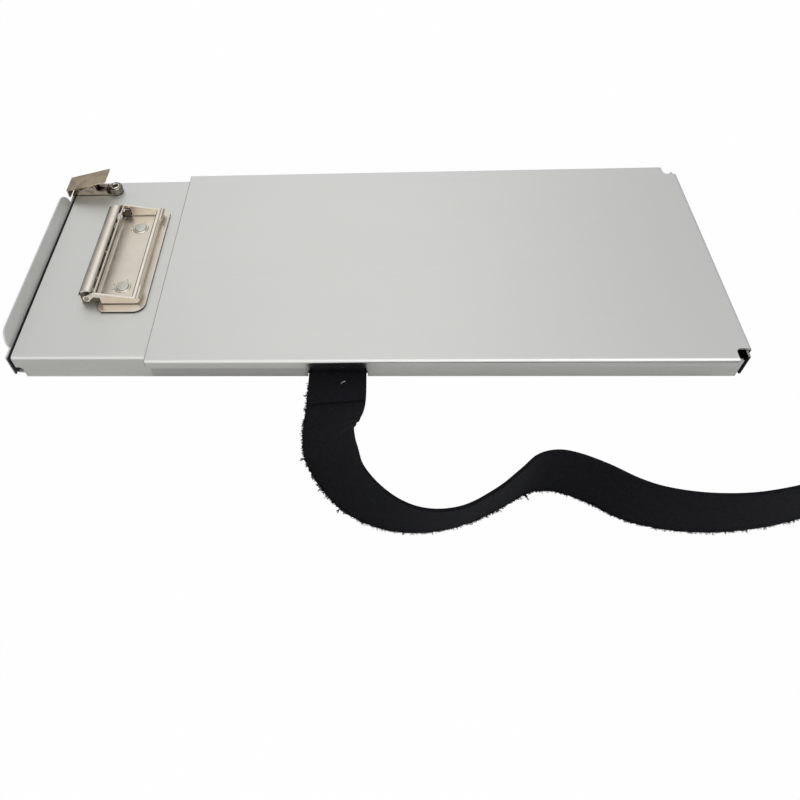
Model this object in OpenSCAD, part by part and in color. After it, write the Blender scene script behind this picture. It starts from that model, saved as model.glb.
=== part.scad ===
/* [Box] */
// Outside length of the box over its end walls
box_l = 347; // [320:1:380]
// Outside width of the box over its side walls
box_w = 139; // [130:1:150]
// Height from the rest face to the top of the closed cover
box_h = 15.2; // [14:0.1:18]
// Thickness of the aluminium sheet
sheet = 1.0; // [0.8:0.1:1.2]
// Outside radius of the folds in the sheet
fold_r = 1.8; // [1.4:0.1:2.2]
// Height of the pan's side returns inside the walls
return_h = 4.6; // [4:0.1:6]
// Cut at the lower corner of each side wall, beside the lip
corner_cut = 3.2; // [2.5:0.1:5]

/* [Lip] */
// Width of the finger lip along the end wall
lip_w = 113; // [90:1:116]
// Distance from the lip's clip end to the outside of the back wall
lip_inset = 19.5; // [17:0.5:24]
// Height of the finger lip above the end wall
lip_h = 8.2; // [6:0.1:10]
// Outward lean of the finger lip in degrees
lip_lean = 12; // [6:1:20]
// Radius of the finger lip's corners
lip_r = 6.8; // [4:0.2:7]

/* [Clip plate] */
// Length of the box that the closed cover leaves bare
plate_bare = 69; // [67:0.5:80]
// Length of the clip plate's tongue under the closed cover
tongue_l = 30; // [20:1:40]
// Gap between the end wall and the clip plate
end_gap = 1.6; // [0.8:0.1:2]

/* [Cover] */
// Side-to-side distance from the box wall to the outside of the cover
cover_over = 3.5; // [3.2:0.1:4.5]
// Height of the cover's side flanges
flange_h = 6.2; // [5:0.1:7]
// Width of the hem under the cover's side flanges
hem_w = 2.9; // [2.5:0.1:3.1]
// Square relief at the cover's closed corners
relief = 7.4; // [6:0.1:9]
// Radius of the side flanges' open lower corners
flange_r = 3.9; // [2.5:0.1:4]
// Travel of the cover before its stop meets the end wall
cover_travel = 200; // [150:5:205]
// Running clearance between the cover and the box
slide_gap = 0.3; // [0.2:0.05:0.5]

/* [Main clip] */
// Length of the clip's base plate
clip_l = 82; // [76:0.2:90]
// Width of the clip's base plate
clip_w = 24.8; // [24:0.2:28]
// Thickness of the clip's nickelled steel
clip_t = 0.9; // [0.7:0.1:1]
// Distance between the clip's two rivets
rivet_pitch = 46.8; // [40:0.2:50]
// Distance of the rivets from the hinge pin
rivet_off = 15; // [14:0.1:17]
// Length of the rolled jaw
jaw_l = 68; // [60:0.2:70]
// Outside radius of the rolled jaw
jaw_r = 4.4; // [4.2:0.1:4.5]
// Reach of the lever frame from the hinge pin
lever_reach = 25.8; // [24:0.2:26.6]
// Height of the lever frame above its pin, beside the roll
lever_rise = 3.6; // [3.4:0.1:4]
// Radius of the hinge pin
pin_r = 1.0; // [0.8:0.1:1.1]
// Distance from the end wall to the hinge pin
clip_from_end = 32.9; // [31:0.1:36]
// Distance of the clip's middle from the middle of the plate
clip_side = 1.3; // [0:0.1:4]

/* [Corner clip] */
// Width of the corner clip's tab
tab_w = 12.4; // [11:0.2:14]
// Length of the corner clip's tab
tab_l = 25; // [22:0.5:26]
// Slope of the tab in degrees
tab_slope = 12.7; // [10:0.1:14]
// Thickness of the corner clip's steel
tab_t = 0.8; // [0.6:0.1:0.9]
// Height of the corner clip's pivot above the clip plate
pivot_h = 4.8; // [4.6:0.1:5.4]
// Radius of the corner clip's pin
small_pin_r = 0.8; // [0.6:0.1:0.9]
// Distance from the outside of the back wall to the clip's middle
corner_inset = 9.5; // [8.5:0.1:12]
// Distance from the end wall to the corner clip's pivot
corner_from_end = 13.3; // [13:0.1:16]

/* [Strap] */
// Width of the strap
strap_w = 27.5; // [24:0.5:30]
// Thickness of the strap
strap_t = 1.4; // [1.2:0.1:1.6]
// Thickness of the second layer sewn over the strap's root
root_t = 1.1; // [0.9:0.1:1.2]
// Distance between the strap's two rivets
strap_pitch = 14; // [12:0.5:16]
// Radius of the washers under the strap's rivets
washer_r = 4.8; // [4:0.1:5.4]
// Height of the slot for the strap above the floor of the box
slot_h = 3.4; // [3:0.1:4]

/* [Hidden] */
$fn = 48;
tiny = 0.01;
far = 50;

end_x = -box_l / 2;
wall_y = box_w / 2;
plate_z = box_h - sheet - slide_gap;
cover_x0 = end_x + plate_bare;
cover_x1 = box_l / 2 + slide_gap + sheet;
cover_y = wall_y + cover_over;
plate_x0 = end_x + sheet + end_gap;
rail_x0 = cover_x0 + 2;
rail_x1 = cover_x1 - relief - 1;
rail_y = cover_y - sheet - slide_gap;
wall_x1 = box_l / 2 - sheet - 0.8;
slit = 0.6;
rail_fold = 0.5;
return_gap = 5;
edge_gap = 1.5;
wall_relief = 1.2;
stop_w = 8;
stop_drop = 3;
stop_side = 14;

clip_x = end_x + clip_from_end;
pin_z = 4.6;
play = 0.05;
base_in = 4.6;
toe_x = 2;
toe_y = jaw_l / 2 - 0.6;
lever_gap = 0.7;
ear_off = 20;
web_off = 27;
spring_off = 10;
ring_r = 3.7;
head_r = 2.5;
shank_r = 1.6;

corner_x = end_x + corner_from_end;
corner_y = wall_y - corner_inset;
tail_x = 12.7;
tip_x = -13.2;
eyelet_r = 4.1;

strap_x = -13.3;
slot_gap = 0.6;
layer_gap = 0.15;

// Sections drawn in Y and Z run along X, and those in X and Z run along Y.
module along_x(x0, x1) {
    translate([x0, 0, 0]) rotate([90, 0, 90]) linear_extrude(x1 - x0) children();
}

module along_y(y0, y1) {
    translate([0, y1, 0]) rotate([90, 0, 0]) linear_extrude(y1 - y0) children();
}

module both_sides() {
    children();
    mirror([0, 1, 0]) children();
}

module at_each(places) {
    for (place = places) translate(place) children();
}

// Rectangle with its low corner at (x, y) and all four corners rounded
module rounded_rect(x, y, w, h, r) {
    translate([x + r, y]) square([w - 2 * r, h]);
    translate([x, y + r]) square([w, h - 2 * r]);
    at_each([[x + r, y + r], [x + w - r, y + r], [x + r, y + h - r],
        [x + w - r, y + h - r]]) circle(r);
}

// Quarter of a ring round (x, y), in the quadrant that sx and sy point to
module fold(x, y, inside, sx, sy) {
    translate([x, y]) intersection() {
        difference() {
            circle(inside + sheet);
            circle(inside);
        }
        scale([sx, sy]) square(inside + sheet);
    }
}

// Half-round fillet left by a corner of radius r at the origin
module corner_waste(r) {
    difference() {
        translate([-tiny, -tiny]) square(r + tiny);
        translate([r, r]) circle(r);
    }
}

module dome(r, h) {
    ball = (r * r + h * h) / (2 * h);
    intersection() {
        translate([0, 0, h - ball]) sphere(ball);
        cylinder(h, r = r);
    }
}

// The channel: a clip plate folded down into two side walls, whose upper
// edges turn out into rails where the cover runs.
module channel_plate() {
    along_x(plate_x0, cover_x0 + 1) difference() {
        rounded_rect(-wall_y, -far, box_w, far + plate_z, fold_r);
        rounded_rect(sheet - wall_y, -far - tiny, box_w - 2 * sheet,
            far + tiny + plate_z - sheet, fold_r - sheet);
        translate([-box_w, -2 * far]) square([2 * box_w, 2 * far]);
    }
    tongue_y = wall_y - sheet - slit;
    translate([cover_x0, -tongue_y, plate_z - sheet])
        cube([tongue_l, 2 * tongue_y, sheet]);
}

module rail_section() {
    bend_z = plate_z - sheet - rail_fold;
    translate([wall_y - sheet, 0]) square([sheet, bend_z]);
    fold(wall_y + rail_fold, bend_z, rail_fold, -1, 1);
    translate([wall_y + rail_fold - tiny, plate_z - sheet])
        square([rail_y - wall_y - rail_fold + tiny, sheet]);
}

module wall_corner_cut() {
    cut_h = plate_z / 2;
    along_y(-cover_y, cover_y) translate([plate_x0, 0]) difference() {
        translate([-tiny, -tiny]) square([corner_cut, cut_h]);
        translate([corner_cut - fold_r, cut_h - fold_r]) intersection() {
            difference() {
                square(fold_r);
                circle(fold_r);
            }
        }
    }
}

module strap_slot(h) {
    slot_w = strap_w + 2 * slot_gap;
    translate([strap_x - slot_w / 2, -wall_y - sheet, h - far])
        cube([slot_w, 5 * sheet, far + slot_h]);
}

module rivet_places() {
    for (side = [-1, 1])
        translate([clip_x + rivet_off, clip_side + side * rivet_pitch / 2, 0]) children();
}

module housing_channel() {
    color("silver") difference() {
        union() {
            channel_plate();
            both_sides() along_x(rail_x0, rail_x1) rail_section();
            both_sides() along_x(cover_x0, wall_x1) translate([wall_y - sheet, 0])
                square([sheet, plate_z - sheet - rail_fold - wall_relief]);
        }
        wall_corner_cut();
        strap_slot(sheet);
        rivet_places() cylinder(far, r = shank_r);
        translate([corner_x + tail_x, corner_y, 0]) cylinder(far, r = shank_r);
    }
}

// The pan: a floor with end walls turned up, a leaning finger lip on the
// clip end, and low returns inside the side walls.
module pan_section() {
    bend = fold_r - sheet;
    translate([end_x + fold_r, 0]) square([box_l - 2 * fold_r, sheet]);
    fold(end_x + fold_r, fold_r, bend, -1, -1);
    fold(-end_x - fold_r, fold_r, bend, 1, -1);
}

module end_walls() {
    translate([end_x, -wall_y, fold_r]) cube([sheet, 2 * wall_y, plate_z - fold_r]);
    translate([-end_x - sheet, -wall_y, fold_r])
        cube([sheet, 2 * wall_y, plate_z - slide_gap - fold_r]);
}

module finger_lip() {
    lip_y1 = wall_y - lip_inset;
    lip_y0 = lip_y1 - lip_w;
    translate([end_x + sheet / 2, 0, plate_z - sheet / 2]) rotate([0, -lip_lean, 0]) {
        along_x(-sheet / 2, sheet / 2) difference() {
            rounded_rect(lip_y0, -lip_r, lip_w, lip_h + lip_r, lip_r);
            translate([lip_y0 - 1, -2 * lip_r]) square([lip_w + 2, 2 * lip_r]);
        }
        along_y(lip_y0, lip_y1) circle(sheet / 2);
    }
}

module floor_pan() {
    end_y = wall_y - sheet - edge_gap;
    return_y = wall_y - sheet;
    color("silver") difference() {
        union() {
            along_y(-end_y, end_y) pan_section();
            end_walls();
            finger_lip();
            both_sides() along_x(end_x + return_gap, -end_x - return_gap) {
                square([return_y - fold_r, sheet]);
                fold(return_y - fold_r, fold_r, fold_r - sheet, 1, -1);
                translate([return_y - sheet, fold_r])
                    square([sheet, return_h - fold_r]);
            }
        }
        translate([0, sheet, 0]) strap_slot(far + sheet);
        strap_rivet_places() cylinder(sheet, r1 = shank_r + 1, r2 = shank_r);
    }
}

// The cover: a sheet with hemmed side flanges that wrap the rails, and one
// full-height end flange between square corner reliefs.
module cover_section() {
    hem_y = cover_y - hem_w;
    difference() {
        rounded_rect(-cover_y, box_h - flange_h, 2 * cover_y, flange_h, fold_r);
        rounded_rect(sheet - cover_y, box_h - flange_h + sheet, 2 * (cover_y - sheet),
            flange_h - 2 * sheet, fold_r - sheet);
        translate([-hem_y, 0]) square([2 * hem_y, box_h - flange_h + sheet + tiny]);
    }
}

module cover_reliefs() {
    inner = 2.6;
    both_sides() translate([cover_x1 - relief, cover_y - relief, 0]) linear_extrude(far)
        difference() {
            square(relief + 1);
            translate([inner, inner]) difference() {
                translate([-inner - tiny, -inner - tiny]) square(inner + tiny);
                circle(inner);
            }
        }
}

module cover_end() {
    end_y = cover_y - relief;
    bend_x = cover_x1 - fold_r;
    bend_z = box_h - fold_r;
    lap = 1;
    along_y(-end_y, end_y) {
        translate([bend_x - lap, box_h - sheet]) square([lap, sheet]);
        fold(bend_x, bend_z, fold_r - sheet, 1, 1);
        translate([cover_x1 - sheet, slide_gap]) square([sheet, bend_z - slide_gap]);
    }
}

module sliding_cover() {
    color("gainsboro") {
        difference() {
            along_x(cover_x0, cover_x1 - fold_r) cover_section();
            cover_reliefs();
            along_y(-cover_y - 1, cover_y + 1)
                translate([cover_x0, box_h - flange_h]) corner_waste(flange_r);
        }
        cover_end();
    }
}

module cover_stop() {
    stop_x1 = box_l / 2 - sheet - cover_travel - slide_gap;
    stop_y = wall_y - stop_side;
    under = box_h - sheet;
    bend = fold_r - sheet;
    color("silver") along_y(-stop_y, stop_y) {
        translate([stop_x1 - stop_w, under - sheet]) square([stop_w - fold_r, sheet]);
        fold(stop_x1 - fold_r, under - fold_r, bend, 1, 1);
        translate([stop_x1 - sheet, under - stop_drop])
            square([sheet, stop_drop - fold_r]);
    }
}

// The main clip is drawn round its hinge pin: x from the pin towards the
// rivets, z up from the top of the clip plate.
module on_clip() {
    translate([clip_x, clip_side, plate_z]) children();
}

module on_pin() {
    translate([0, 0, pin_z]) children();
}

module ear_section() {
    foot = toe_x + clip_t;
    difference() {
        union() {
            translate([0, pin_z]) circle(pin_r + clip_t);
            polygon([[-pin_r, pin_z - pin_r], [toe_x, 0], [foot, 0], [foot, clip_t],
                [pin_r + clip_t, pin_z]]);
        }
        translate([0, pin_z]) circle(pin_r);
    }
}

module main_clip_base() {
    corner = 6;
    chamfer = 3;
    x1 = base_in + clip_w;
    ear_t = 1.2;
    color("linen") on_clip() {
        difference() {
            union() {
                linear_extrude(clip_t) difference() {
                    rounded_rect(base_in, -clip_l / 2, clip_w, clip_l, corner);
                    translate([base_in - 1, -clip_l]) square([corner + 1, 2 * clip_l]);
                }
                linear_extrude(clip_t) polygon([[base_in, chamfer - clip_l / 2],
                    [base_in + chamfer, -clip_l / 2], [x1 - corner, -clip_l / 2],
                    [x1 - corner, clip_l / 2], [base_in + chamfer, clip_l / 2],
                    [base_in, clip_l / 2 - chamfer]]);
                translate([toe_x, -toe_y, 0]) cube([base_in + 1 - toe_x, 2 * toe_y, clip_t]);
                for (side = [-1, 1]) translate([rivet_off, side * rivet_pitch / 2, clip_t])
                    rotate_extrude() intersection() {
                        translate([ring_r, 0]) circle(0.6);
                        square([2 * ring_r, 1]);
                    }
            }
            for (side = [-1, 1]) translate([rivet_off, side * rivet_pitch / 2, -1])
                cylinder(far, r = shank_r);
        }
        for (y = [-ear_off, 0, ear_off]) along_y(y - ear_t / 2, y + ear_t / 2) ear_section();
    }
}

module jaw_section() {
    start = 45;
    inner = jaw_r - clip_t;
    difference() {
        circle(jaw_r);
        circle(inner);
        translate([-2 * jaw_r, -2 * jaw_r]) square([4 * jaw_r, 2 * jaw_r]);
        rotate(start) translate([0, -2 * jaw_r]) square([2 * jaw_r, 2 * jaw_r]);
    }
    translate([-jaw_r, slide_gap - pin_z]) square([clip_t, pin_z - slide_gap + tiny]);
}

module web_section() {
    web_x = 1.6;
    web_low = 2.2;
    difference() {
        intersection() {
            circle(jaw_r - clip_t / 2);
            translate([-jaw_r, -web_low]) square([jaw_r + web_x, 2 * jaw_r]);
        }
        circle(pin_r + play);
    }
}

module main_clip_jaw() {
    web_t = 1.2;
    color("linen") on_clip() on_pin() {
        along_y(-jaw_l / 2, jaw_l / 2) jaw_section();
        for (side = [-1, 1]) along_y(side * web_off - web_t / 2, side * web_off + web_t / 2)
            web_section();
    }
}

// Height of the lever's top above the pin at a distance x from it
lever_x0 = jaw_r - 0.3;
lever_end_z = -0.3;
function lever_z(x) = lever_rise
    + (lever_end_z - lever_rise) * (x - lever_x0) / (lever_reach - lever_x0);

// A cheek stands clear of the roll's open end and carries a tongue to the pin
module cheek_section() {
    low = pin_z - clip_t - 0.5;
    hub = pin_r + 0.9;
    cheek_x = 7;
    tongue_t = 2.4;
    difference() {
        union() {
            circle(hub);
            polygon([[0, hub], [lever_x0, lever_rise], [lever_reach, lever_end_z],
                [lever_reach, -low], [cheek_x, -low],
                [cheek_x, lever_z(cheek_x) - tongue_t],
                [lever_x0, lever_rise - tongue_t], [0, -hub]]);
        }
        circle(pin_r + play);
    }
}

module main_clip_lever() {
    in_y = jaw_l / 2 + lever_gap;
    out_y = in_y + clip_t + 0.1;
    bar_x = lever_reach - 2.8;
    sunk = 0.1;
    rib_r = 0.55;
    edge_r = 1.3;
    recess = 54;
    recess_d = 1.2;
    color("linen") on_clip() on_pin() {
        both_sides() along_y(in_y, out_y) cheek_section();
        difference() {
            along_y(-out_y, out_y) {
                translate([lever_x0 + rib_r, lever_rise - rib_r]) circle(rib_r);
                translate([0, -sunk]) polygon([[bar_x, lever_z(bar_x)],
                    [lever_reach, lever_end_z], [lever_reach, lever_end_z - clip_t],
                    [bar_x, lever_z(bar_x) - clip_t]]);
                translate([lever_reach, lever_end_z - clip_t / 2]) circle(edge_r);
            }
            translate([lever_reach + edge_r - recess_d, -recess / 2, -far / 2])
                cube([far, recess, far]);
        }
    }
}

module main_clip_pin() {
    half = jaw_l / 2 + lever_gap + clip_t + 0.6;
    color("gray") on_clip() on_pin() along_y(-half, half) circle(pin_r);
}

// A coil of close turns round a pin along Y, with two legs [angle, length]
module torsion_spring(mean_r, wire_r, turns, first_leg, last_leg) {
    pitch = 1.8 * wire_r;
    half = (turns - 1) / 2 * pitch;
    rotate([90, 0, 0]) rotate_extrude() {
        for (i = [0 : turns - 1]) translate([mean_r, i * pitch - half])
            circle(wire_r, $fn = 16);
        translate([mean_r - wire_r / 2, -half]) square([wire_r, 2 * half]);
    }
    for (leg = [[first_leg, half], [last_leg, -half]])
        translate([0, leg[1], 0]) rotate([0, leg[0][0], 0]) translate([0, 0, mean_r])
            rotate([0, 90, 0]) cylinder(leg[0][1], r = wire_r * 0.95);
}

module main_clip_springs() {
    wire_r = 0.4;
    mean_r = pin_r + wire_r + 0.4;
    color("dimgray") on_clip() on_pin() for (side = [-1, 1])
        translate([0, side * spring_off, 0])
            torsion_spring(mean_r, wire_r, 7, [100, 2.2], [250, 2.4]);
}

module main_clip_rivets() {
    grip = sheet + clip_t;
    tail_h = 0.7;
    color("gainsboro") on_clip() for (side = [-1, 1])
        translate([rivet_off, side * rivet_pitch / 2, 0]) {
            translate([0, 0, -sheet]) cylinder(grip, r = shank_r);
            translate([0, 0, clip_t]) dome(head_r, 0.9);
            translate([0, 0, -sheet]) mirror([0, 0, 1]) dome(head_r, tail_h);
        }
}

// The corner clip is drawn round its pivot: x towards its rivet, z up from
// the top of the clip plate.
module on_corner() {
    translate([corner_x, corner_y, plate_z]) children();
}

wedge_y = 3.4;
wedge_hub = small_pin_r + 1.4;
rim_h = 3.1;
rim_x1 = tail_x - eyelet_r - 0.3;

module wedge_section() {
    difference() {
        union() {
            translate([0, pivot_h]) circle(wedge_hub);
            polygon([[tip_x + 2, 0], [tip_x + 2, tab_t + 0.6],
                [-wedge_hub * 0.6, pivot_h + wedge_hub * 0.8], [wedge_hub, pivot_h],
                [wedge_hub + 0.4, rim_h], [rim_x1, rim_h], [rim_x1, 0]]);
        }
        translate([0, pivot_h]) circle(small_pin_r);
    }
}

module corner_clip_base() {
    color("tan") on_corner() {
        difference() {
            union() {
                translate([tip_x, -wedge_y, 0])
                    cube([tail_x - tip_x, 2 * wedge_y, tab_t]);
                translate([tail_x, 0, 0]) cylinder(tab_t, r = eyelet_r);
            }
            translate([tail_x, 0, -1]) cylinder(far, r = shank_r);
        }
        both_sides() along_y(wedge_y - tab_t, wedge_y) wedge_section();
    }
}

module lever_ear_section() {
    reach = 3;
    middle = tab_top - pivot_h - tab_t / 2;
    rise = reach * tan(tab_slope);
    difference() {
        union() {
            circle(wedge_hub);
            polygon([[-wedge_hub, 0], [wedge_hub, 0], [reach, middle + rise],
                [-reach, middle - rise]]);
        }
        circle(small_pin_r + play);
    }
}

// The tab's upper face crosses the pivot at this height above the plate
tab_top = 9.1;
tab_x0 = -14.4;

module corner_clip_lever() {
    ear_y = wedge_y - tab_t - 0.3;
    tooth = tab_top + tab_x0 * tan(tab_slope) - tab_t - slide_gap;
    color("tan") on_corner() {
        translate([0, 0, tab_top]) rotate([0, -tab_slope, 0])
            translate([tab_x0 / cos(tab_slope), -tab_w / 2, -tab_t])
                cube([tab_l, tab_w, tab_t]);
        translate([tab_x0 + 0.2, -tab_w / 2, tab_t + slide_gap])
            cube([tab_t, tab_w, tooth - tab_t / 2]);
        translate([0, 0, pivot_h]) both_sides() along_y(ear_y - tab_t, ear_y)
            lever_ear_section();
    }
}

module corner_clip_pin() {
    half = wedge_y + 0.4;
    color("gray") on_corner() translate([0, 0, pivot_h])
        along_y(-half, half) circle(small_pin_r);
}

// A leaf spring: its foot lies on the base, then it turns back twice in an S
module corner_clip_spring() {
    leaf_t = 0.35;
    leaf_w = 2.4;
    low_r = 1.9;
    high_r = 1.1;
    foot_x = [1.8, 6.2];
    high_x = 5.4;
    tip_l = 1.2;
    low_z = tab_t + leaf_t / 2 + low_r;
    high_z = low_z + low_r + high_r;
    color("dimgray") on_corner() along_y(-leaf_w / 2, leaf_w / 2) {
        translate([foot_x[0], tab_t]) square([foot_x[1] - foot_x[0], leaf_t]);
        translate([foot_x[1], low_z]) half_ring(low_r, leaf_t, 1);
        translate([high_x, low_z + low_r - leaf_t / 2])
            square([foot_x[1] - high_x, leaf_t]);
        translate([high_x, high_z]) half_ring(high_r, leaf_t, -1);
        translate([high_x, high_z + high_r - leaf_t / 2]) square([tip_l, leaf_t]);
    }
}

// Half a ring of mean radius r on the side that side points to
module half_ring(r, t, side) {
    difference() {
        circle(r + t / 2);
        circle(r - t / 2);
        translate([-far / 2 - side * (far / 2 + tiny), -far / 2]) square([far, far]);
    }
}

module corner_clip_rivet() {
    collar_h = 2.2;
    roll = 1.1;
    tail_h = 0.7;
    color("silver") on_corner() translate([tail_x, 0, 0]) {
        translate([0, 0, -sheet]) cylinder(sheet + tab_t, r = shank_r);
        difference() {
            translate([0, 0, tab_t]) cylinder(collar_h, r = eyelet_r);
            translate([0, 0, tab_t + 1]) cylinder(far, r = eyelet_r - 2 * roll + 0.3);
        }
        translate([0, 0, tab_t + collar_h]) rotate_extrude()
            translate([eyelet_r - roll + 0.05, 0]) circle(roll);
        translate([0, 0, -sheet]) mirror([0, 0, 1]) dome(head_r, tail_h);
    }
}

// The strap's lower edge runs along these points, [x, y, z, tilt], from its
// root on the floor of the box to its free end. Tilt 0 lies flat.
strap_route = [[-27, -24, 1, 0], [-27, -48, 1, 0], [-27, -70, 1, 0], [-27, -79, 0.2, 2],
    [-27, -88.3, 0, 9], [-27.6, -100.2, 0, 20], [-27.2, -110, 0, 29], [-24.5, -120, 0, 37],
    [-17.6, -131.6, 0, 50], [-7.6, -142.2, 0, 66], [6, -148.8, 0, 84], [20, -150.8, 0, 98],
    [34, -149, 0, 102], [48, -143.6, 0, 98], [59.5, -137, 0, 93], [68, -131.8, 0, 89],
    [76, -130.4, 0, 87], [84, -132, 0, 87], [94, -136.8, 0, 87], [104, -143, 0, 87],
    [114, -146.4, 0, 88], [128, -148.6, 0, 88], [144, -148.4, 0, 88], [160, -146, 0, 87],
    [175, -142, 0, 86], [190, -137, 0, 86], [204, -130, 0, 88], [216, -120, 0, 90],
    [224, -107, 0, 90], [227, -92, 0, 90]];
steps = 3;
last = len(strap_route) - 1;
root_end = 4;
hook_l = 4;

function spline(a, b, c, d, t) = 0.5 * (2 * b + (c - a) * t
    + (2 * a - 5 * b + 4 * c - d) * t * t + (3 * b - a - 3 * c + d) * t * t * t);
function route_at(u) =
    let (i = min(floor(u), last - 1), t = u - i)
    spline(strap_route[max(i - 1, 0)], strap_route[i], strap_route[i + 1],
        strap_route[min(i + 2, last)], t);
function unit(v) = v / norm(v);
function heading(u) =
    let (a = route_at(max(u - 0.1, 0)), b = route_at(min(u + 0.1, last)))
    unit([b.x - a.x, b.y - a.y, 0]);

// Four corners of the strap's section at u, from low to high off its face
function strap_ring(u, side, low, high) =
    let (p = route_at(u), t = heading(u), tilt = max(p[3], 0),
        across = [-t.y * cos(tilt), t.x * cos(tilt), sin(tilt)],
        face = cross(t, across),
        lift = strap_t * max(0, -cos(tilt)),
        edge = [p.x, p.y, max(p.z, 0) + lift])
    [edge + side * across + low * face,
        edge + (strap_w - side) * across + low * face,
        edge + (strap_w - side) * across + high * face,
        edge + side * across + high * face];

module ribbon(u0, u1, side, low, high) {
    count = round((u1 - u0) * steps);
    rings = [for (i = [0 : count]) each
        strap_ring(u0 + (u1 - u0) * i / count, side, low, high)];
    skin = [for (i = [0 : count - 1], k = [0 : 3])
        let (a = 4 * i + k, b = 4 * i + (k + 1) % 4)
        each [[a, b + 4, b], [a, a + 4, b + 4]]];
    end = 4 * count;
    polyhedron(points = rings, faces = concat(skin, [[0, 1, 2, 3],
        [end + 3, end + 2, end + 1, end]]));
}

module strap_rivet_places() {
    root_y = -33;
    for (side = [-1, 1])
        translate([strap_x + side * strap_pitch / 2, root_y, 0]) children();
}

root_top = sheet + strap_t + layer_gap + root_t;
washer_t = 0.6;

module strap() {
    color("black") difference() {
        ribbon(0, last, 0, 0, strap_t);
        strap_rivet_places() cylinder(far, r = shank_r);
    }
}

module strap_root_layer() {
    color("black") difference() {
        ribbon(0, root_end, 0, strap_t + layer_gap, strap_t + layer_gap + root_t);
        strap_rivet_places() cylinder(far, r = shank_r);
    }
}

module strap_hook_patch() {
    patch_side = 1.5;
    patch_t = 1;
    color("black") ribbon(last - hook_l, last - 1 / steps, patch_side,
        strap_t + layer_gap, strap_t + layer_gap + patch_t);
}

module strap_washers() {
    color("silver") strap_rivet_places() translate([0, 0, root_top]) difference() {
        cylinder(washer_t, r = washer_r);
        translate([0, 0, -1]) cylinder(far, r = shank_r);
    }
}

module strap_rivets() {
    head_h = 0.8;
    color("silver") strap_rivet_places() {
        cylinder(sheet, r1 = shank_r + 1, r2 = shank_r);
        cylinder(root_top + washer_t, r = shank_r);
        translate([0, 0, root_top + washer_t]) dome(head_r + 0.4, head_h);
    }
}

housing_channel();
floor_pan();
sliding_cover();
cover_stop();
main_clip_base();
main_clip_jaw();
main_clip_lever();
main_clip_pin();
main_clip_springs();
main_clip_rivets();
corner_clip_base();
corner_clip_lever();
corner_clip_pin();
corner_clip_spring();
corner_clip_rivet();
strap();
strap_root_layer();
strap_hook_patch();
strap_washers();
strap_rivets();
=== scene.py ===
import bpy, bmesh, math, random
from mathutils import Matrix, Vector


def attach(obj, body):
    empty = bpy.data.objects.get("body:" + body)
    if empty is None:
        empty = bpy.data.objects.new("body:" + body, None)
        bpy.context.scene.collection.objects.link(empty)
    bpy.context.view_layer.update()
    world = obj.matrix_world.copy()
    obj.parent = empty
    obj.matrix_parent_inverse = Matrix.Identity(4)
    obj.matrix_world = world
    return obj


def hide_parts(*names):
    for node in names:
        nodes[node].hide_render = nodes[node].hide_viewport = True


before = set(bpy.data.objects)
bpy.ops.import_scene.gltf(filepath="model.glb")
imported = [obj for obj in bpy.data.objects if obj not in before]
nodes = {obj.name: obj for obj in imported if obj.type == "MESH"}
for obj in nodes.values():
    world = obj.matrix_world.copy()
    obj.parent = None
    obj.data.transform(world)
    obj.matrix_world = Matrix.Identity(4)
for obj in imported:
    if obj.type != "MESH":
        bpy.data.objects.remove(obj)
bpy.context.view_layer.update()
mm = 0.001
scene = bpy.context.scene


def linear(hexColour):
    parts = [int(hexColour[i:i + 2], 16) / 255 for i in (1, 3, 5)]
    return [c / 12.92 if c <= 0.04045 else ((c + 0.055) / 1.055) ** 2.4 for c in parts] + [1.0]


# values fill a node's sockets, links feed them, stops are a ramp's (place, colour) and
# settings are the node's own options
def addNode(tree, kind, values=None, links=None, stops=None, **settings):
    node = tree.nodes.new(kind)
    for name, value in settings.items():
        setattr(node, name, value)
    for name, value in (values or {}).items():
        node.inputs[name].default_value = value
    for name, source in (links or {}).items():
        tree.links.new(source, node.inputs[name])
    if stops:
        for element, (at, colour) in zip(node.color_ramp.elements, stops):
            element.position, element.color = at, linear(colour)
    return node


def newMaterial(name, shaderValues):
    material = bpy.data.materials.new(name)
    material.use_nodes = True
    tree = material.node_tree
    shader = tree.nodes["Principled BSDF"]
    for socket, value in shaderValues.items():
        shader.inputs[socket].default_value = value
    place = addNode(tree, "ShaderNodeTexCoord").outputs["Object"]
    return material, tree, shader, place


# masks that a place on the part carries with it, for painted shade and for smoother patches:
# a limit is (axis, full at, gone at) in millimetres, and a band's share is the product of its limits
def shareWithin(tree, place, limits):
    coords = addNode(tree, "ShaderNodeSeparateXYZ", links={"Vector": place})
    share = None
    for axis, full, gone in limits:
        part = addNode(tree, "ShaderNodeMapRange", {"From Min": full * mm, "From Max": gone * mm,
                       "To Min": 1.0, "To Max": 0.0}, {"Value": coords.outputs[axis]}).outputs[0]
        share = part if share is None else addNode(tree, "ShaderNodeMath", links={
            0: share, 1: part}, operation="MULTIPLY").outputs[0]
    return share


# mixes each band's dark colour over the base colour: painted shade at fixed places
def withPaintedShade(tree, shade, place, shadeBands):
    for colour, limits in shadeBands:
        shade = addNode(tree, "ShaderNodeMix", {"B": linear(colour)}, {
            "A": shade, "Factor": shareWithin(tree, place, limits)}, data_type="RGBA").outputs["Result"]
    return shade


# sheet aluminium, mill finish from the rolls: a satin grey that takes soft reflections,
# with barely seen streaks along the rolling direction and a few tiny handling specks
sheetMetal = {"colour": "#e4e4e2", "dull": "#e3e3e1", "rampAt": (0.36, 0.62),
              "rough": 0.5, "brightRough": 0.2, "roughSpread": 0.015,
              "streakMm": 1.3, "streakLength": 60, "cloudMm": 38, "cloudShare": 0.35,
              "grainMm": 0.35, "grainHeight": 0.008, "grainStrength": 0.15,
              "speck": "#77777a", "speckEveryMm": 42, "speckMm": 0.35, "speckCore": 0.6}


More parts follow.
